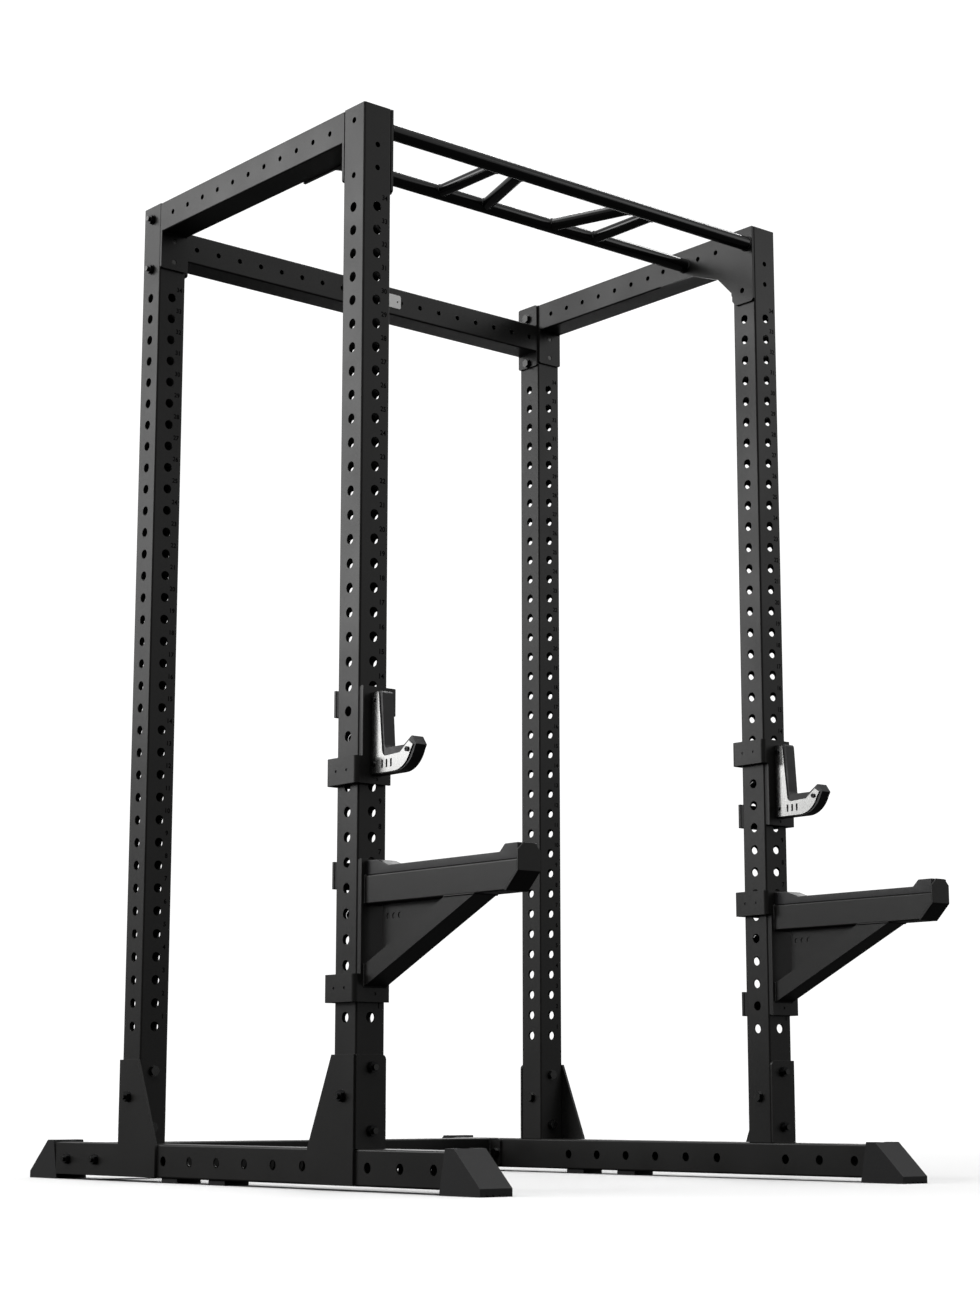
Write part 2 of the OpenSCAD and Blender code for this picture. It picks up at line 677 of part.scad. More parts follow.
// End cap: follows the slanted end and rises above the beam, with its top corners cut off
module arm_end_cap() color(powder) intersection() {
  side_slab(arm_w) polygon([
    [arm_reach - mitre, beam_low], [arm_reach, beam_low + mitre], [arm_reach, cap_top],
    [arm_reach + cap_t, cap_top], [arm_reach + cap_t, beam_low + mitre - cap_t * tan(22.5)],
    [arm_reach - mitre + cap_t * sqrt(2), beam_low]]);
  along_y(-arm_reach - 2 * cap_t, -arm_reach + mitre) polygon([
    [-arm_w / 2, beam_low], [arm_w / 2, beam_low], [arm_w / 2, cap_top - cap_chamfer],
    [arm_w / 2 - cap_chamfer, cap_top], [-arm_w / 2 + cap_chamfer, cap_top],
    [-arm_w / 2, cap_top - cap_chamfer]]);
}

// Plastic strip with raised ends
module arm_strip() color(plastic) side_slab(arm_w - 2 * strip_inset) {
  flat = beam_high + strip_t;
  polygon([
    [front_out, beam_high], [arm_reach, beam_high], [arm_reach, strip_high],
    [arm_reach - 37, strip_high], [arm_reach - 52, flat],
    [front_out + 71, flat], [front_out + 34, strip_high - 1], [front_out, strip_high - 1]]);
}

// Height of the brace's lower edge at distance u, and the distance at which it reaches height v
function brace_v(u) = brace_foot + (u - front_out) * tan(brace_slope);
function brace_u(v) = front_out + (v - brace_foot) / tan(brace_slope);

// Outline of the brace, shrunk from above and below by a wall
module brace_outline(shrink) {
  s = shrink / cos(brace_slope);
  over = shrink > 0 ? eps : 0;
  polygon([
    [front_out - over, brace_v(front_out - over) + s],
    [brace_u(beam_low + over - s), beam_low + over],
    [brace_u(beam_low + over - brace_rise + s), beam_low + over],
    [front_out - over, brace_v(front_out - over) + brace_rise - s]]);
}

module arm_brace() color(powder) difference() {
  side_slab(arm_w) brace_outline(0);
  side_slab(arm_w - 2 * beam_wall) brace_outline(beam_wall);
}

module arm_web() color(powder) difference() {
  start = front_out + web_gap;
  side_slab(web_t) polygon([
    [start, brace_v(start) + brace_rise], [brace_u(beam_low - brace_rise), beam_low],
    [start, beam_low]]);
  // three shallow round marks on each face
  for (i = [0:2], s = [-1, 1])
    rod_x([s * web_t / 2, -start - 18 - 18 * i, beam_low - 24], web_mark_d, 2 * web_mark_depth);
}

// ---------- the parts by name ----------

in_place() upright(-1, -1);  // upright_front_left
in_place() upright(1, -1);  // upright_front_right
in_place() upright(-1, 1);  // upright_rear_left
in_place() upright(1, 1);  // upright_rear_right
in_place() upright_top_plugs();
in_place() base_rail(-1);  // base_rail_left
in_place() base_rail(1);  // base_rail_right
in_place() foot(-1, -1);  // foot_front_left
in_place() foot(1, -1);  // foot_front_right
in_place() foot(-1, 1);  // foot_rear_left
in_place() foot(1, 1);  // foot_rear_right
in_place() base_pads();
in_place() base_bracket(-1, -1);  // base_bracket_front_left
in_place() base_bracket(1, -1);  // base_bracket_front_right
in_place() base_bracket(-1, 1);  // base_bracket_rear_left
in_place() base_bracket(1, 1);  // base_bracket_rear_right
in_place() side_beam(-1);  // side_beam_left
in_place() side_beam(1);  // side_beam_right
in_place() rear_top_beam();
in_place() rear_base_beam();
in_place() long_bar(bar_front_y);  // pull_up_front_bar
in_place() long_bar(bar_rear_y);  // pull_up_rear_bar
in_place() pull_up_grips();
in_place() pull_up_plate(-1);  // pull_up_plate_left
in_place() pull_up_plate(1);  // pull_up_plate_right
in_place() name_plate();
in_place() base_bolts();
in_place() base_nuts();
in_place() top_bolts();
in_place() top_nuts();
on_cup(-1) cup_bracket();  // cup_left_bracket
on_cup(-1) roll_in_pin();  // cup_left_pin
on_cup(-1) cup_liners();  // cup_left_liners
on_cup(-1) cup_hook();  // cup_left_hook
on_cup(-1) cup_cheeks();  // cup_left_cheeks
on_cup(-1) cup_screws();  // cup_left_screws
on_cup(1) cup_bracket();  // cup_right_bracket
on_cup(1) roll_in_pin();  // cup_right_pin
on_cup(1) cup_liners();  // cup_right_liners
on_cup(1) cup_hook();  // cup_right_hook
on_cup(1) cup_cheeks();  // cup_right_cheeks
on_cup(1) cup_screws();  // cup_right_screws
on_arm(-1) arm_bracket();  // arm_left_bracket
on_arm(-1) roll_in_pin();  // arm_left_pin
on_arm(-1) arm_liners();  // arm_left_liners
on_arm(-1) arm_beam();  // arm_left_beam
on_arm(-1) arm_brace();  // arm_left_brace
on_arm(-1) arm_web();  // arm_left_web
on_arm(-1) arm_strip();  // arm_left_strip
on_arm(-1) arm_end_cap();  // arm_left_end_cap
on_arm(-1) arm_screws();  // arm_left_screws
on_arm(1) arm_bracket();  // arm_right_bracket
on_arm(1) roll_in_pin();  // arm_right_pin
on_arm(1) arm_liners();  // arm_right_liners
on_arm(1) arm_beam();  // arm_right_beam
on_arm(1) arm_brace();  // arm_right_brace
on_arm(1) arm_web();  // arm_right_web
on_arm(1) arm_strip();  // arm_right_strip
on_arm(1) arm_end_cap();  // arm_right_end_cap
on_arm(1) arm_screws();  // arm_right_screws
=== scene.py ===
# %% [markdown]
# # A power cage, finished in Blender
# The metalwork arrives as exact solids from the design file, already at its real size
# and place. Blender's work is what the eye reads on top of that: softened edges, the
# texture of powder coat and moulded rubber, weld beads, printed hole numbers and light.
# Every length is in metres, +Z is up, and -Y is the front, where the spotter arms point.

import json
import math

import bpy
from mathutils import Matrix, Vector


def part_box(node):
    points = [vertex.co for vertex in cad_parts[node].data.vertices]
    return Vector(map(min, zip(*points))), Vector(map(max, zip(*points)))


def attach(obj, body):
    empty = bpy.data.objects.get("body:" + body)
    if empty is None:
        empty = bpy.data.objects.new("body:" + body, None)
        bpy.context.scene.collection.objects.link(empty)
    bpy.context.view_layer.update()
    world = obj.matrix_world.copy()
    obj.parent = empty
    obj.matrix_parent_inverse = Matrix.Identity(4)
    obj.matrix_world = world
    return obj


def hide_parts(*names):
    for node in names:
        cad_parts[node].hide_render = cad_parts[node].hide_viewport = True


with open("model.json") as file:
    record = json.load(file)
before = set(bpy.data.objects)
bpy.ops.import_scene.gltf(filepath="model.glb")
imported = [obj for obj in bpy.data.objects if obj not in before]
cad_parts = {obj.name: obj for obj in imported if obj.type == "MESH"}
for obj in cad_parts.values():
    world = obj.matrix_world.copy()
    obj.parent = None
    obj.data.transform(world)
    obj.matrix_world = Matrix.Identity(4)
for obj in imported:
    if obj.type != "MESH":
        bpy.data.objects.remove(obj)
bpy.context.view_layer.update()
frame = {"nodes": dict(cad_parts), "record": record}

# %% [markdown]
# An operator works on everything that is selected, and the import leaves every part
# selected. So each step starts with nothing selected and then picks its own object.

# %% A clean selection before every step
MM = 0.001


def select_only(obj):
    """Leaves edit mode and selects one object alone, or nothing at all."""
    if bpy.context.object and bpy.context.object.mode != "OBJECT":
        bpy.ops.object.mode_set(mode="OBJECT")
    bpy.ops.object.select_all(action="DESELECT")
    if obj is not None:
        obj.select_set(True)
        bpy.context.view_layer.objects.active = obj


def join_as(name, objects):
    """Joins several objects into one, whose place is in its mesh."""
    select_only(objects[0])
    for obj in objects:
        obj.select_set(True)
    bpy.ops.object.join()
    joined = bpy.context.object
    bpy.ops.object.transform_apply(location=True, rotation=True, scale=True)
    joined.name = joined.data.name = name
    return joined


select_only(None)
print("nothing selected")

# %% [markdown]
# ## Powder coat
# The cage is black powder coat with a fine, slightly rough grain. On the real object the
# grain is about half a millimetre wide and only microns deep, so it is a bump and not
# geometry. A second, broad noise moves the roughness a little, because a big sprayed
# surface is never quite even. The bars that hands hold are sprayed thinner, so they are
# smoother and glossier. The patterns are on Object coordinates, which are metres here.

# %% A starting point for every finish
def new_finish(name, colour, roughness, metallic=0.0, specular=0.5):
    """A named material: its node tree, its surface shader and its coordinates."""
    material = bpy.data.materials.new(name)
    material.use_nodes = True
    tree = material.node_tree
    surface = tree.nodes["Principled BSDF"]
    surface.inputs["Base Color"].default_value = (*colour, 1.0)
    surface.inputs["Roughness"].default_value = roughness
    surface.inputs["Metallic"].default_value = metallic
    surface.inputs["Specular IOR Level"].default_value = specular
    coordinates = tree.nodes.new("ShaderNodeTexCoord")
    return material, tree, surface, coordinates.outputs["Object"]


def add_noise(tree, vector, scale, detail=2.0):
    noise = tree.nodes.new("ShaderNodeTexNoise")
    noise.inputs["Scale"].default_value = scale
    noise.inputs["Detail"].default_value = detail
    tree.links.new(vector, noise.inputs["Vector"])
    return noise.outputs["Fac"]


def add_bump(tree, surface, height, distance, strength=1.0):
    bump = tree.nodes.new("ShaderNodeBump")
    bump.inputs["Distance"].default_value = distance
    bump.inputs["Strength"].default_value = strength
    tree.links.new(height, bump.inputs["Height"])
    tree.links.new(bump.outputs["Normal"], surface.inputs["Normal"])


def add_range(tree, value, low, high):
    """Maps a 0 to 1 value onto a narrow range, for a roughness that wanders."""
    mapped = tree.nodes.new("ShaderNodeMapRange")
    mapped.inputs["From Min"].default_value = 0.3
    mapped.inputs["From Max"].default_value = 0.7
    mapped.inputs["To Min"].default_value = low
    mapped.inputs["To Max"].default_value = high
    tree.links.new(value, mapped.inputs["Value"])
    return mapped.outputs["Result"]


def add_two_tone(tree, surface, value, dark, light):
    """Colours the surface between two close tones."""
    ramp = tree.nodes.new("ShaderNodeValToRGB")
    ramp.color_ramp.elements[0].position = 0.35
    ramp.color_ramp.elements[1].position = 0.65
    ramp.color_ramp.elements[0].color = (*dark, 1.0)
    ramp.color_ramp.elements[1].color = (*light, 1.0)
    tree.links.new(value, ramp.inputs["Fac"])
    tree.links.new(ramp.outputs["Color"], surface.inputs["Base Color"])


print("helpers for finishes ready")

# %% Black powder coat, and its smoother kind for the bars
def make_powder_coat():
    material, tree, surface, where = new_finish(
        "powder_coat_black", (0.010, 0.0098, 0.0092), 0.36, 0.0, 0.42
    )
    grain = add_noise(tree, where, 1500.0, 3.0)
    add_bump(tree, surface, grain, 0.00012, 0.55)
    add_two_tone(tree, surface, grain, (0.0070, 0.0068, 0.0064), (0.0115, 0.0112, 0.0106))
    broad = add_noise(tree, where, 6.0)
    tree.links.new(add_range(tree, broad, 0.31, 0.40), surface.inputs["Roughness"])
    return material


def make_bar_coat():
    """The same black on the pull-up bars, with less grain and more gloss."""
    material, tree, surface, where = new_finish(
        "bar_coat_black", (0.006, 0.006, 0.006), 0.2, 0.0, 0.55
    )
    add_bump(tree, surface, add_noise(tree, where, 900.0, 3.0), 0.00005, 0.4)
    worn = add_noise(tree, where, 14.0, 3.0)
    tree.links.new(add_range(tree, worn, 0.11, 0.20), surface.inputs["Roughness"])
    return material


powder_coat = make_powder_coat()
bar_coat = make_bar_coat()
print("made", powder_coat.name, bar_coat.name)

# %% [markdown]
# ## Rubber and plastics
# The feet are moulded rubber, dull with a faint orange-peel skin. The hooks and the strips
# on the arms are a dense, waxy plastic that takes a soft shine and fine scuffs. The liners
# are the same plastic as cut sheet, so they stay duller.

# %% Rubber, waxy plastic and sheet plastic
def make_rubber():
    material, tree, surface, where = new_finish(
        "moulded_rubber", (0.010, 0.010, 0.0105), 0.62, 0.0, 0.4
    )
    skin = add_noise(tree, where, 700.0, 3.0)
    add_bump(tree, surface, skin, 0.0002, 0.4)
    add_two_tone(tree, surface, skin, (0.008, 0.008, 0.0085), (0.014, 0.014, 0.0145))
    return material


def make_waxy_plastic():
    material, tree, surface, where = new_finish("waxy_black_plastic", (0.010, 0.010, 0.011), 0.36)
    skin = add_noise(tree, where, 260.0, 4.0)
    add_bump(tree, surface, skin, 0.0001, 0.3)
    scuffs = add_noise(tree, where, 40.0, 6.0)
    tree.links.new(add_range(tree, scuffs, 0.30, 0.46), surface.inputs["Roughness"])
    return material


def make_sheet_plastic():
    material, tree, surface, where = new_finish("liner_sheet_plastic", (0.010, 0.010, 0.010), 0.55)
    add_bump(tree, surface, add_noise(tree, where, 900.0), 0.00008, 0.4)
    return material


rubber = make_rubber()
waxy_plastic = make_waxy_plastic()
sheet_plastic = make_sheet_plastic()
print("made", rubber.name, waxy_plastic.name, sheet_plastic.name)

# %% [markdown]
# ## Bare and plated metal
# The cheek plates of the hooks are brushed stainless steel: the brushing runs up and down
# the plate, so its noise is stretched along Z. Pins are turned steel. Bolts and nuts
# are dark zinc, the screws a little darker still. Plating mottles slightly, as a noise shows.

# %% Brushed cheeks, turned pins, zinc bolts and nuts
def make_brushed_steel():
    material, tree, surface, where = new_finish("brushed_stainless", (0.36, 0.36, 0.355), 0.24, 1.0)
    stretch = tree.nodes.new("ShaderNodeMapping")
    stretch.inputs["Scale"].default_value = (1.0, 1.0, 0.03)
    tree.links.new(where, stretch.inputs["Vector"])
    lines = add_noise(tree, stretch.outputs["Vector"], 2600.0, 2.0)
    add_bump(tree, surface, lines, 0.00003, 0.25)
    tree.links.new(add_range(tree, lines, 0.18, 0.30), surface.inputs["Roughness"])
    return material


def make_plated_steel(name, colour, low, high):
    material, tree, surface, where = new_finish(name, colour, (low + high) / 2, 1.0)
    mottle = add_noise(tree, where, 180.0, 4.0)
    tree.links.new(add_range(tree, mottle, low, high), surface.inputs["Roughness"])
    add_bump(tree, surface, mottle, 0.00005, 0.4)
    return material


brushed_steel = make_brushed_steel()
pin_steel = make_plated_steel("turned_pin_steel", (0.50, 0.50, 0.50), 0.18, 0.30)
bolt_zinc = make_plated_steel("frame_bolt_zinc", (0.075, 0.075, 0.074), 0.18, 0.30)
dark_zinc = make_plated_steel("dark_zinc", (0.035, 0.035, 0.036), 0.26, 0.40)
print("made", brushed_steel.name, pin_steel.name, bolt_zinc.name, dark_zinc.name)

# %% [markdown]
# ## Label and ink
# The plate on the rear beam is a blank white lacquered tag. The hole numbers are a thin
# print, blacker and duller than the coat around it, so they need their own finish.

# %% White lacquer and black ink
def make_lacquer():
    material, tree, surface, where = new_finish("white_lacquer", (0.93, 0.93, 0.92), 0.3)
    add_bump(tree, surface, add_noise(tree, where, 300.0), 0.00005, 0.2)
    return material


def make_ink():
    material, tree, surface, where = new_finish("black_ink", (0.001, 0.001, 0.001), 0.5, 0.0, 0.0)
    add_bump(tree, surface, add_noise(tree, where, 2000.0), 0.00003, 0.3)
    return material


white_lacquer = make_lacquer()
black_ink = make_ink()
print("made", white_lacquer.name, black_ink.name)

# %% [markdown]
# ## Dress the solids
# Each part of the design gets the finish of what it is. The list of parts and their
# material slots comes with the frame, so a part is never missed. Two kinds of part then
# get a closer finish of their own: the large bolts, and the bars of the pull-up bar.

# %% One finish for each slot of the record
finish_of_slot = {
    "powder_coat": powder_coat,
    "rubber": rubber,
    "liner_plastic": sheet_plastic,
    "hard_plastic": waxy_plastic,
    "label_white": white_lacquer,
    "cheek_steel": brushed_steel,
    "pin_steel": pin_steel,
    "fastener_steel": dark_zinc,
}
slot_of = {part["node"]: part["material_slot"] for part in frame["record"]["subparts"]}
body_of = {
    node: body
    for body, nodes in frame["record"]["behaviour"]["bodies"].items()
    for node in nodes
}


def set_finish(obj, material):
    obj.data.materials.clear()
    obj.data.materials.append(material)


for node, obj in frame["nodes"].items():
    set_finish(obj, finish_of_slot[slot_of[node]])
for node in ("base_bolts", "top_bolts"):
    set_finish(frame["nodes"][node], bolt_zinc)
for node in ("pull_up_front_bar", "pull_up_rear_bar", "pull_up_grips"):
    set_finish(frame["nodes"][node], bar_coat)
print("dressed", len(frame["nodes"]), "parts")

# %% [markdown]
# ## Soft edges
# A cut plate or a moulding never has a mathematically sharp edge. A bevel of about a
# millimetre catches a thin line of light, and that line is most of what makes metal look
# real. The imported meshes are loose triangles, so each one is copied, its doubled points
# are merged, its flat faces are cleaned up, and a Bevel modifier rounds what is left. Big
# faces then set the shading of their corners, which keeps them looking flat.

# %% A softened copy that stands for the sharp solid
SAME_POINT = 0.01 * MM
SAME_FACE = math.radians(0.6)
SHARP_EDGE = math.radians(32)
SMOOTH_EDGE = math.radians(40)
BEVEL_SEGMENTS = 2


def soften(node, width):
    """Copies a solid, rounds its edges, and shows the copy in its place."""
    select_only(frame["nodes"][node])
    bpy.ops.object.duplicate()
    copy = bpy.context.object
    copy.parent = None
    copy.matrix_world = Matrix.Identity(4)
    copy.name = copy.data.name = node + "_soft"
    bpy.ops.object.mode_set(mode="EDIT")
    bpy.ops.mesh.select_all(action="SELECT")
    bpy.ops.mesh.remove_doubles(threshold=SAME_POINT)
    bpy.ops.mesh.dissolve_limited(angle_limit=SAME_FACE)
    bpy.ops.object.mode_set(mode="OBJECT")
    bpy.ops.object.modifier_add(type="BEVEL")
    bevel = copy.modifiers[-1]
    bevel.width = width
    bevel.segments = BEVEL_SEGMENTS
    bevel.limit_method = "ANGLE"
    bevel.angle_limit = SHARP_EDGE
    bevel.use_clamp_overlap = True
    bpy.ops.object.modifier_apply(modifier=bevel.name)
    bpy.ops.object.shade_smooth_by_angle(angle=SMOOTH_EDGE)
    bpy.ops.object.modifier_add(type="WEIGHTED_NORMAL")
    weighted = copy.modifiers[-1]
    weighted.keep_sharp = True
    bpy.ops.object.modifier_apply(modifier=weighted.name)
    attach(copy, body_of[node])
    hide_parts(node)
    return copy


print("soften() ready")

# %% Plates, brackets, feet and mouldings
edge_widths = {}
for sy in ("front", "rear"):
    for sx in ("left", "right"):
        edge_widths["foot_%s_%s" % (sy, sx)] = 1.6 * MM
        edge_widths["base_bracket_%s_%s" % (sy, sx)] = 0.8 * MM
for sx in ("left", "right"):
    edge_widths["pull_up_plate_" + sx] = 0.8 * MM
    edge_widths["side_beam_" + sx] = 0.6 * MM
    edge_widths["cup_%s_bracket" % sx] = 0.9 * MM
    edge_widths["cup_%s_hook" % sx] = 1.6 * MM
    edge_widths["cup_%s_cheeks" % sx] = 0.5 * MM
    edge_widths["arm_%s_bracket" % sx] = 0.9 * MM
    edge_widths["arm_%s_strip" % sx] = 1.6 * MM
    edge_widths["arm_%s_end_cap" % sx] = 0.8 * MM
    edge_widths["arm_%s_web" % sx] = 0.6 * MM
edge_widths["rear_top_beam"] = 0.6 * MM
edge_widths["rear_base_beam"] = 0.6 * MM
edge_widths["name_plate"] = 0.4 * MM
edge_widths["base_pads"] = 1.0 * MM

softened = {node: soften(node, width) for node, width in edge_widths.items()}
for node in sorted(softened):
    print(node, len(softened[node].data.polygons), "faces")

# %% [markdown]
# ## Hole numbers
# Each upright has its holes numbered from the bottom, up its front face. The figures are a
# thin print: text is typed, made a mesh and set just proud of the face. One set of figures
# is made, and the other uprights get a copy of it, moved across.

# %% Where the numbers go
TUBE = 70 * MM
FIRST_HOLE = 330 * MM
HOLE_PITCH = 50 * MM
HOLE_COUNT = 34
NUMBER_HEIGHT = 10.6 * MM
HEIGHT_OF_TEXT_SIZE = 0.73  # a digit's height at text size 1
NUMBER_RIGHT = 19.5 * MM
NUMBER_UP = 21.5 * MM
NUMBER_WEIGHT = 0.3 * MM
PRINT_THICKNESS = 0.12 * MM

upright_low, upright_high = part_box("upright_front_left")
upright_x = (upright_low.x + upright_high.x) / 2
print("front left upright is", round(TUBE / MM), "mm wide, at x =", round(upright_x, 4))


# %% Type the numbers once
def type_number(number, x, y, z):
    select_only(None)
    bpy.ops.object.text_add()
    text = bpy.context.object
    text.data.body = str(number)
    text.data.size = NUMBER_HEIGHT / HEIGHT_OF_TEXT_SIZE
    text.data.align_x = "CENTER"
    text.data.align_y = "CENTER"
    text.data.resolution_u = 3
    text.data.extrude = PRINT_THICKNESS / 2
    text.data.offset = NUMBER_WEIGHT
    bpy.ops.object.convert(target="MESH")
    text = bpy.context.object
    text.rotation_euler = (math.radians(90), 0, 0)
    text.location = (x, y, z)
    return text


numbers = join_as(
    "numbers_front_left",
    [
        type_number(
            n,
            upright_x + NUMBER_RIGHT,
            upright_low.y - PRINT_THICKNESS / 2,
            FIRST_HOLE + (n - 1) * HOLE_PITCH + NUMBER_UP,
        )
        for n in range(1, HOLE_COUNT + 1)
    ],
)
set_finish(numbers, black_ink)
print("numbers:", len(numbers.data.polygons), "faces")


# %% Copy the numbers to the other uprights
def copy_numbers(node):
    copy = numbers.copy()
    copy.data = numbers.data.copy()
    bpy.context.collection.objects.link(copy)
    copy.name = copy.data.name = node.replace("upright", "numbers")
    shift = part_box(node)[0] - upright_low
    copy.data.transform(Matrix.Translation(shift))
    return copy


number_sets = [numbers] + [
    copy_numbers(node)
    for node in ("upright_front_right", "upright_rear_left", "upright_rear_right")
]
for printed in number_sets:
    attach(printed, "cage")
    print("printed", printed.name)

# %% [markdown]
# ## Weld beads
# A weld is a row of small overlapping ripples, each one a drop of metal that froze before
# the next. One ripple is a small flattened ball. It is copied along every joint where one
# piece is welded to another: straight along the edge of a tube, or round the end of a bar.

# %% One ripple, and where the joints are
RIPPLE = 2.4 * MM
RIPPLE_PITCH = 2.6 * MM
RIPPLE_FLATNESS = 0.8


def along_line(start, end):
    """Places of the ripples between two points."""
    start, end = Vector(start), Vector(end)
    count = max(2, round((end - start).length / RIPPLE_PITCH))
    return [start.lerp(end, i / count) for i in range(count + 1)]


def around_ring(centre, normal, radius):
    """Places of the ripples round the end of a bar."""
    count = round(2 * math.pi * radius / RIPPLE_PITCH)
    side = Vector(normal).orthogonal().normalized()
    turn = Vector(normal).normalized()
    return [
        Vector(centre) + Matrix.Rotation(2 * math.pi * i / count, 3, turn) @ side * radius
        for i in range(count)
    ]


def make_ripples(name, places, body):
    select_only(None)
    bpy.ops.mesh.primitive_uv_sphere_add(segments=8, ring_count=5, radius=RIPPLE)
    ripple = bpy.context.object
    bpy.ops.object.mode_set(mode="EDIT")
    bpy.ops.mesh.select_all(action="SELECT")
    bpy.ops.transform.resize(value=(1.0, 1.0, RIPPLE_FLATNESS))
    bpy.ops.object.mode_set(mode="OBJECT")
    bpy.ops.object.shade_smooth()
    copies = []
    for place in places:
        copy = ripple.copy()
        copy.data = ripple.data.copy()
        copy.location = place
        bpy.context.collection.objects.link(copy)
        copies.append(copy)
    bpy.data.objects.remove(ripple)
    bead = join_as(name, copies)
    set_finish(bead, powder_coat)
    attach(bead, body)
    print(name, len(places), "ripples,", len(bead.data.polygons), "faces")


# %% Welds of the beams to their end plates
PLATE = 6 * MM
CORNER = 3 * MM  # a weld stops where the tube's corner turns
places = []
for node in ("side_beam_left", "side_beam_right"):
    low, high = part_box(node)
    underside = high.z - TUBE
    for y in (low.y + PLATE, high.y - PLATE):
        places += along_line((low.x + CORNER, y, underside), (high.x - CORNER, y, underside))
low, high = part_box("rear_top_beam")
name_low, name_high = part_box("name_plate")
rear_axis = (name_low.z + name_high.z) / 2
for x in (low.x + PLATE, high.x - PLATE):
    for z in (rear_axis - TUBE / 2, rear_axis + TUBE / 2):
        places += along_line((x, low.y + CORNER, z), (x, high.y - CORNER, z))
low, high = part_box("rear_base_beam")
middle = (low.y + high.y) / 2
for x in (low.x + PLATE, high.x - PLATE):
    for y in (middle - TUBE / 2, middle + TUBE / 2):
        places += along_line((x, y, low.z + CORNER), (x, y, high.z - CORNER))
print("beam welds:", len(places), "ripples so far")

# %% Welds of the pull-up bar
bar_axes = []
for node in ("pull_up_front_bar", "pull_up_rear_bar"):
    low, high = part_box(node)
    radius = (high.z - low.z) / 2
    axis_y, axis_z = (low.y + high.y) / 2, (low.z + high.z) / 2
    bar_axes.append((axis_y, axis_z))
    for x in (low.x + 1 * MM, high.x - 1 * MM):
        places += around_ring((x, axis_y, axis_z), (1, 0, 0), radius)
GRIP_RADIUS = 14 * MM
GRIP_ENDS = [(232, 232), (165, 98)]  # x of a grip's front and rear end: straight, slanted
for front_x, rear_x in GRIP_ENDS:
    for side in (-1, 1):
        front = Vector((side * front_x * MM, bar_axes[0][0], bar_axes[0][1]))
        rear = Vector((side * rear_x * MM, bar_axes[1][0], bar_axes[1][1]))
        run = (rear - front).normalized()
        for end, inwards in ((front, run), (rear, -run)):
            across = Vector((0, inwards.y, 0)).normalized()
            for place in around_ring(end, run, GRIP_RADIUS):
                height = place.z - end.z
                reach = math.sqrt(max(0.0, radius**2 - height**2))
                out = place - end
                places.append(place + inwards * (reach - out.dot(across)))
make_ripples("frame_welds", places, "cage")


# %% Welds of each spotter arm
ARM_CORNER = 2 * MM
BRACE_TUBE = 38 * MM
BRACE_SLOPE = math.radians(25.4)


def weld_arm(side):
    beam_low, beam_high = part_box("arm_%s_beam" % side)
    brace_low, brace_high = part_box("arm_%s_brace" % side)
    plate_y = beam_high.y
    x0, x1 = beam_low.x, beam_high.x
    spots = []
    for z in (beam_low.z, beam_high.z):
        spots += along_line((x0 + ARM_CORNER, plate_y, z), (x1 - ARM_CORNER, plate_y, z))
    side_low, side_high = beam_low.z + ARM_CORNER, beam_high.z - ARM_CORNER
    for x in (x0, x1):
        spots += along_line((x, plate_y, side_low), (x, plate_y, side_high))
    # the brace meets the plate over its own cut end, and the beam's underside along its top
    cut_end_top = brace_low.z + BRACE_TUBE / math.cos(BRACE_SLOPE)
    top_edge_end = brace_low.y + BRACE_TUBE / math.sin(BRACE_SLOPE)
    for x in (x0, x1):
        spots += along_line((x, plate_y, brace_low.z), (x, plate_y, cut_end_top))
        spots += along_line((x, brace_low.y, beam_low.z), (x, top_edge_end, beam_low.z))
    spots += along_line((x0, plate_y, brace_low.z), (x1, plate_y, brace_low.z))
    spots += along_line((x0, brace_low.y, beam_low.z), (x1, brace_low.y, beam_low.z))
    make_ripples("arm_%s_welds" % side, spots, "arm_" + side)


for side in ("left", "right"):
    weld_arm(side)

# %% [markdown]
# ## Studio
# Black metal shows mostly what it reflects, so the studio is built as two things at once.
# To the eye it is white paper. To the metal it is a dim room with a dark floor, as if black
# cloth lay around the cage's feet, so undersides and hollows stay black. Each stage surface
# mixes a seen shader and a lighting shader to do that.

# %% A surface that lights the cage less than it shows
def dim_except_when_seen(tree, lighting_shader, seen_shader, output):
    """Joins two shaders: one for what light carries to the cage, one for direct sight."""
    path = tree.nodes.new("ShaderNodeLightPath")
    chosen = tree.nodes.new("ShaderNodeMixShader")
    tree.links.new(path.outputs["Is Camera Ray"], chosen.inputs["Fac"])
    tree.links.new(lighting_shader.outputs[0], chosen.inputs[1])
    tree.links.new(seen_shader.outputs[0], chosen.inputs[2])
    tree.links.new(chosen.outputs["Shader"], output.inputs["Surface"])


print("stage helper ready")

# %% [markdown]
# ## Floor
# A wide sheet of pale paper. Its seen colour carries a painted shadow: a broad greyer patch
# around and behind the cage, standing in for the soft shade the cage casts on it. The painted
# shadow is a smooth ramp of the distance from one point of the floor.

# %% Floor
FLOOR_SIZE = 120.0
FLOOR_SEEN = 0.90
# painted shadow on the floor: its darkest tone, its centre, and the distances where it starts to
# fade and where it ends
PAINTED_SHADOW_TONE = 0.66
PAINTED_SHADOW_CENTRE = (1.3, 1.5, 0.0)
PAINTED_SHADOW_CORE = 0.5
PAINTED_SHADOW_RADIUS = 6.0
FLOOR_BOUNCE = 0.025
select_only(None)
bpy.ops.mesh.primitive_plane_add(size=FLOOR_SIZE, location=(0, 0, 0))
floor = bpy.context.object
floor.name = "studio_floor"
floor_finish = bpy.data.materials.new("pale_floor")
floor_finish.use_nodes = True
floor_tree = floor_finish.node_tree
floor_tree.nodes.remove(floor_tree.nodes["Principled BSDF"])
pale = floor_tree.nodes.new("ShaderNodeBsdfDiffuse")
floor_where = floor_tree.nodes.new("ShaderNodeTexCoord").outputs["Object"]
offset = floor_tree.nodes.new("ShaderNodeVectorMath")
offset.operation = "DISTANCE"
offset.inputs[1].default_value = PAINTED_SHADOW_CENTRE
floor_tree.links.new(floor_where, offset.inputs[0])
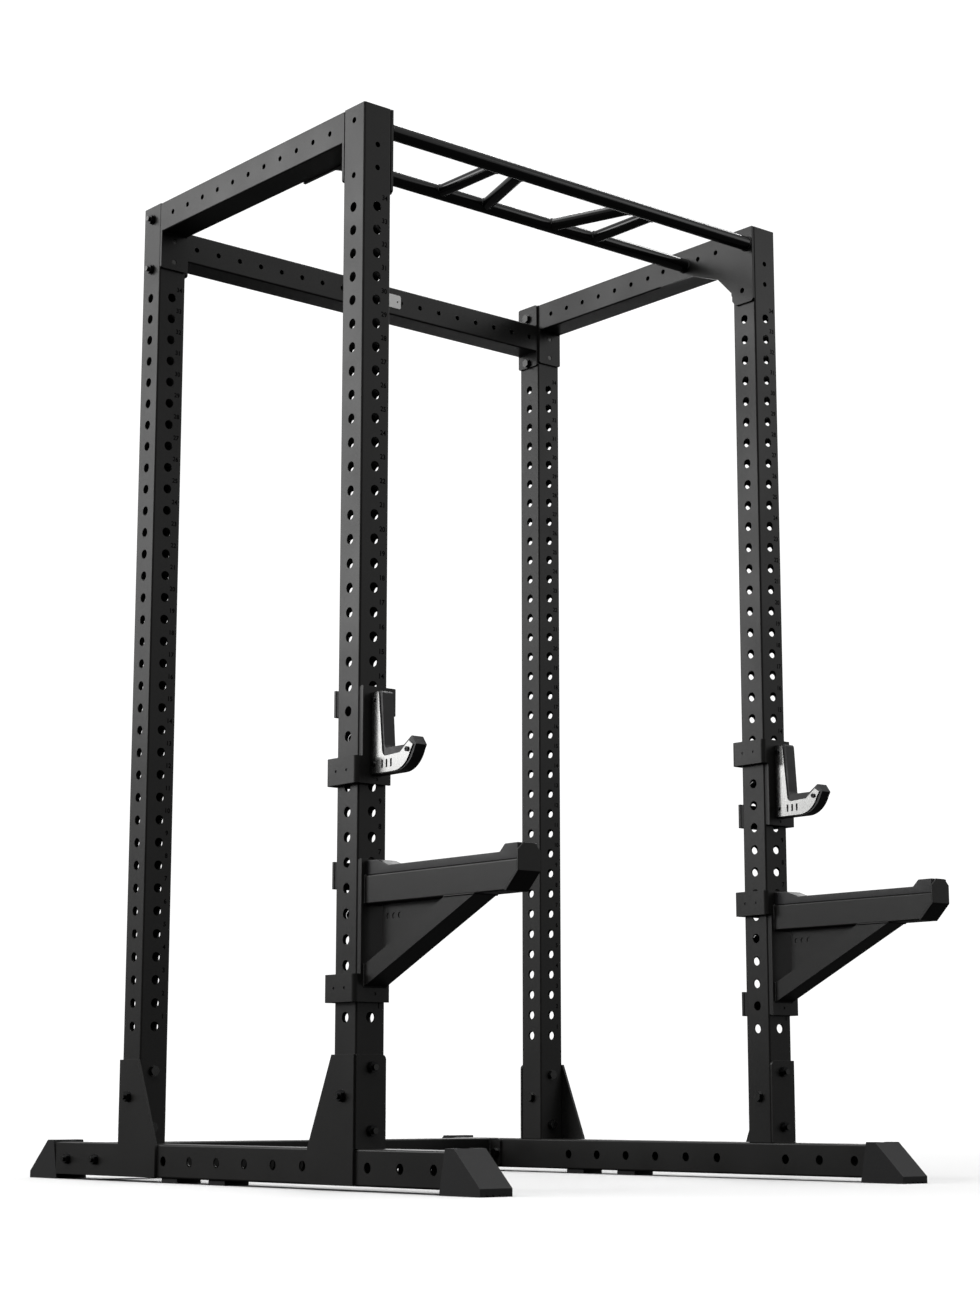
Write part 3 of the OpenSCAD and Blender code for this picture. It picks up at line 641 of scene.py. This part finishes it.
# painted shadow: the floor's seen colour greys towards the centre point and fades to the plain
# floor tone with distance
painted_shadow = floor_tree.nodes.new("ShaderNodeMapRange")
painted_shadow.interpolation_type = "SMOOTHSTEP"
painted_shadow.inputs["From Min"].default_value = PAINTED_SHADOW_CORE
painted_shadow.inputs["From Max"].default_value = PAINTED_SHADOW_RADIUS
painted_shadow.inputs["To Min"].default_value = PAINTED_SHADOW_TONE
painted_shadow.inputs["To Max"].default_value = FLOOR_SEEN
floor_tree.links.new(offset.outputs["Value"], painted_shadow.inputs["Value"])
floor_tree.links.new(painted_shadow.outputs["Result"], pale.inputs["Color"])
dim = floor_tree.nodes.new("ShaderNodeBsdfDiffuse")
dim.inputs["Color"].default_value = (FLOOR_BOUNCE, FLOOR_BOUNCE, FLOOR_BOUNCE, 1.0)
dim_except_when_seen(floor_tree, dim, pale, floor_tree.nodes["Material Output"])
set_finish(floor, floor_finish)
print("floor laid")

# %% [markdown]
# ## Room
# An even fill lights the cage from all around. The room is dark towards its front left
# corner, so rounded edges that face that way show as thin dark lines, and round bars get a
# dark band between two light ones.

# %% World
WHITE = (1.0, 1.0, 1.0, 1.0)
FILL_STRENGTH = 0.40
DARK_SIDE = (-0.64, -0.77, 0.0)
DARK_SIDE_SHARE = 0.12
BACKDROP_STRENGTH = 1.1
world = bpy.data.worlds.new("studio_world")
bpy.context.scene.world = world
world.use_nodes = True
sky_tree = world.node_tree
fill = sky_tree.nodes["Background"]
fill.inputs["Color"].default_value = WHITE
direction = sky_tree.nodes.new("ShaderNodeTexCoord").outputs["Generated"]
facing = sky_tree.nodes.new("ShaderNodeVectorMath")
facing.operation = "DOT_PRODUCT"
facing.inputs[1].default_value = DARK_SIDE
sky_tree.links.new(direction, facing.inputs[0])
shade = sky_tree.nodes.new("ShaderNodeMapRange")
shade.interpolation_type = "SMOOTHSTEP"
shade.inputs["From Min"].default_value = 0.25
shade.inputs["From Max"].default_value = 0.85
shade.inputs["To Min"].default_value = FILL_STRENGTH
shade.inputs["To Max"].default_value = FILL_STRENGTH * DARK_SIDE_SHARE
sky_tree.links.new(facing.outputs["Value"], shade.inputs["Value"])
sky_tree.links.new(shade.outputs["Result"], fill.inputs["Strength"])
backdrop = sky_tree.nodes.new("ShaderNodeBackground")
backdrop.inputs["Color"].default_value = WHITE
backdrop.inputs["Strength"].default_value = BACKDROP_STRENGTH
dim_except_when_seen(sky_tree, fill, backdrop, sky_tree.nodes["World Output"])
bpy.context.scene.view_settings.view_transform = "Standard"
print("world set")

# %% [markdown]
# ## Lights
# A tall soft light stands behind and to the left, where the left faces and the cheek plates
# mirror it towards the viewer, so they are the lightest. A weak one at the front right
# lifts the front faces. A narrow strip above draws a bright line along the round bars, and
# a light at the rear right gives the back some shape. A broad, soft sun overhead whitens
# the floor evenly.

# %% Lights
def add_softbox(name, place, target, size, power):
    select_only(None)
    bpy.ops.object.light_add(type="AREA", location=place)
    light = bpy.context.object
    light.name = name
    light.data.shape = "RECTANGLE"
    light.data.size, light.data.size_y = size
    light.data.energy = power
    aim = Vector(target) - Vector(place)
    light.rotation_euler = aim.to_track_quat("-Z", "Y").to_euler()
    print("placed", name)


add_softbox("tall_left", (-4.2, 3.2, 3.1), (0, 0, 1.3), (3.6, 3.4), 130)
add_softbox("front_right", (4.5, -4.0, 3.8), (0, 0, 1.4), (2.5, 2.5), 16)
add_softbox("bar_streak", (2.6, 1.4, 5.2), (0, -0.3, 2.1), (3.0, 0.5), 40)
add_softbox("rear_right", (4.6, 4.6, 3.0), (0, 0, 1.2), (3.0, 3.5), 50)
select_only(None)
SUN_TILT = (math.radians(8), math.radians(-12), 0)
bpy.ops.object.light_add(type="SUN", location=(0, 0, 8), rotation=SUN_TILT)
sun = bpy.context.object
sun.name = "soft_sun"
sun.data.energy = 2.7
sun.data.angle = math.radians(75)
print("placed", sun.name)

# %% [markdown]
# ## Camera
# The view is from low down, in front and to the left, looking slightly up through a lens a
# little longer than normal, so that the uprights tower.

# %% Camera
CAGE_MIDDLE_Y = (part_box("upright_front_left")[0].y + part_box("upright_rear_left")[1].y) / 2
select_only(None)
bpy.ops.object.camera_add(location=(-3.5169, -4.268 + CAGE_MIDDLE_Y, 0.1683))
camera = bpy.context.object
camera.rotation_euler = (math.radians(100.29), 0.0, math.radians(-40.14))
camera.data.sensor_width = 36.0
camera.data.sensor_fit = "AUTO"
camera.data.lens = 68.18
camera.data.clip_end = 200.0
bpy.context.scene.camera = camera
print("camera at", tuple(round(v, 3) for v in camera.location))
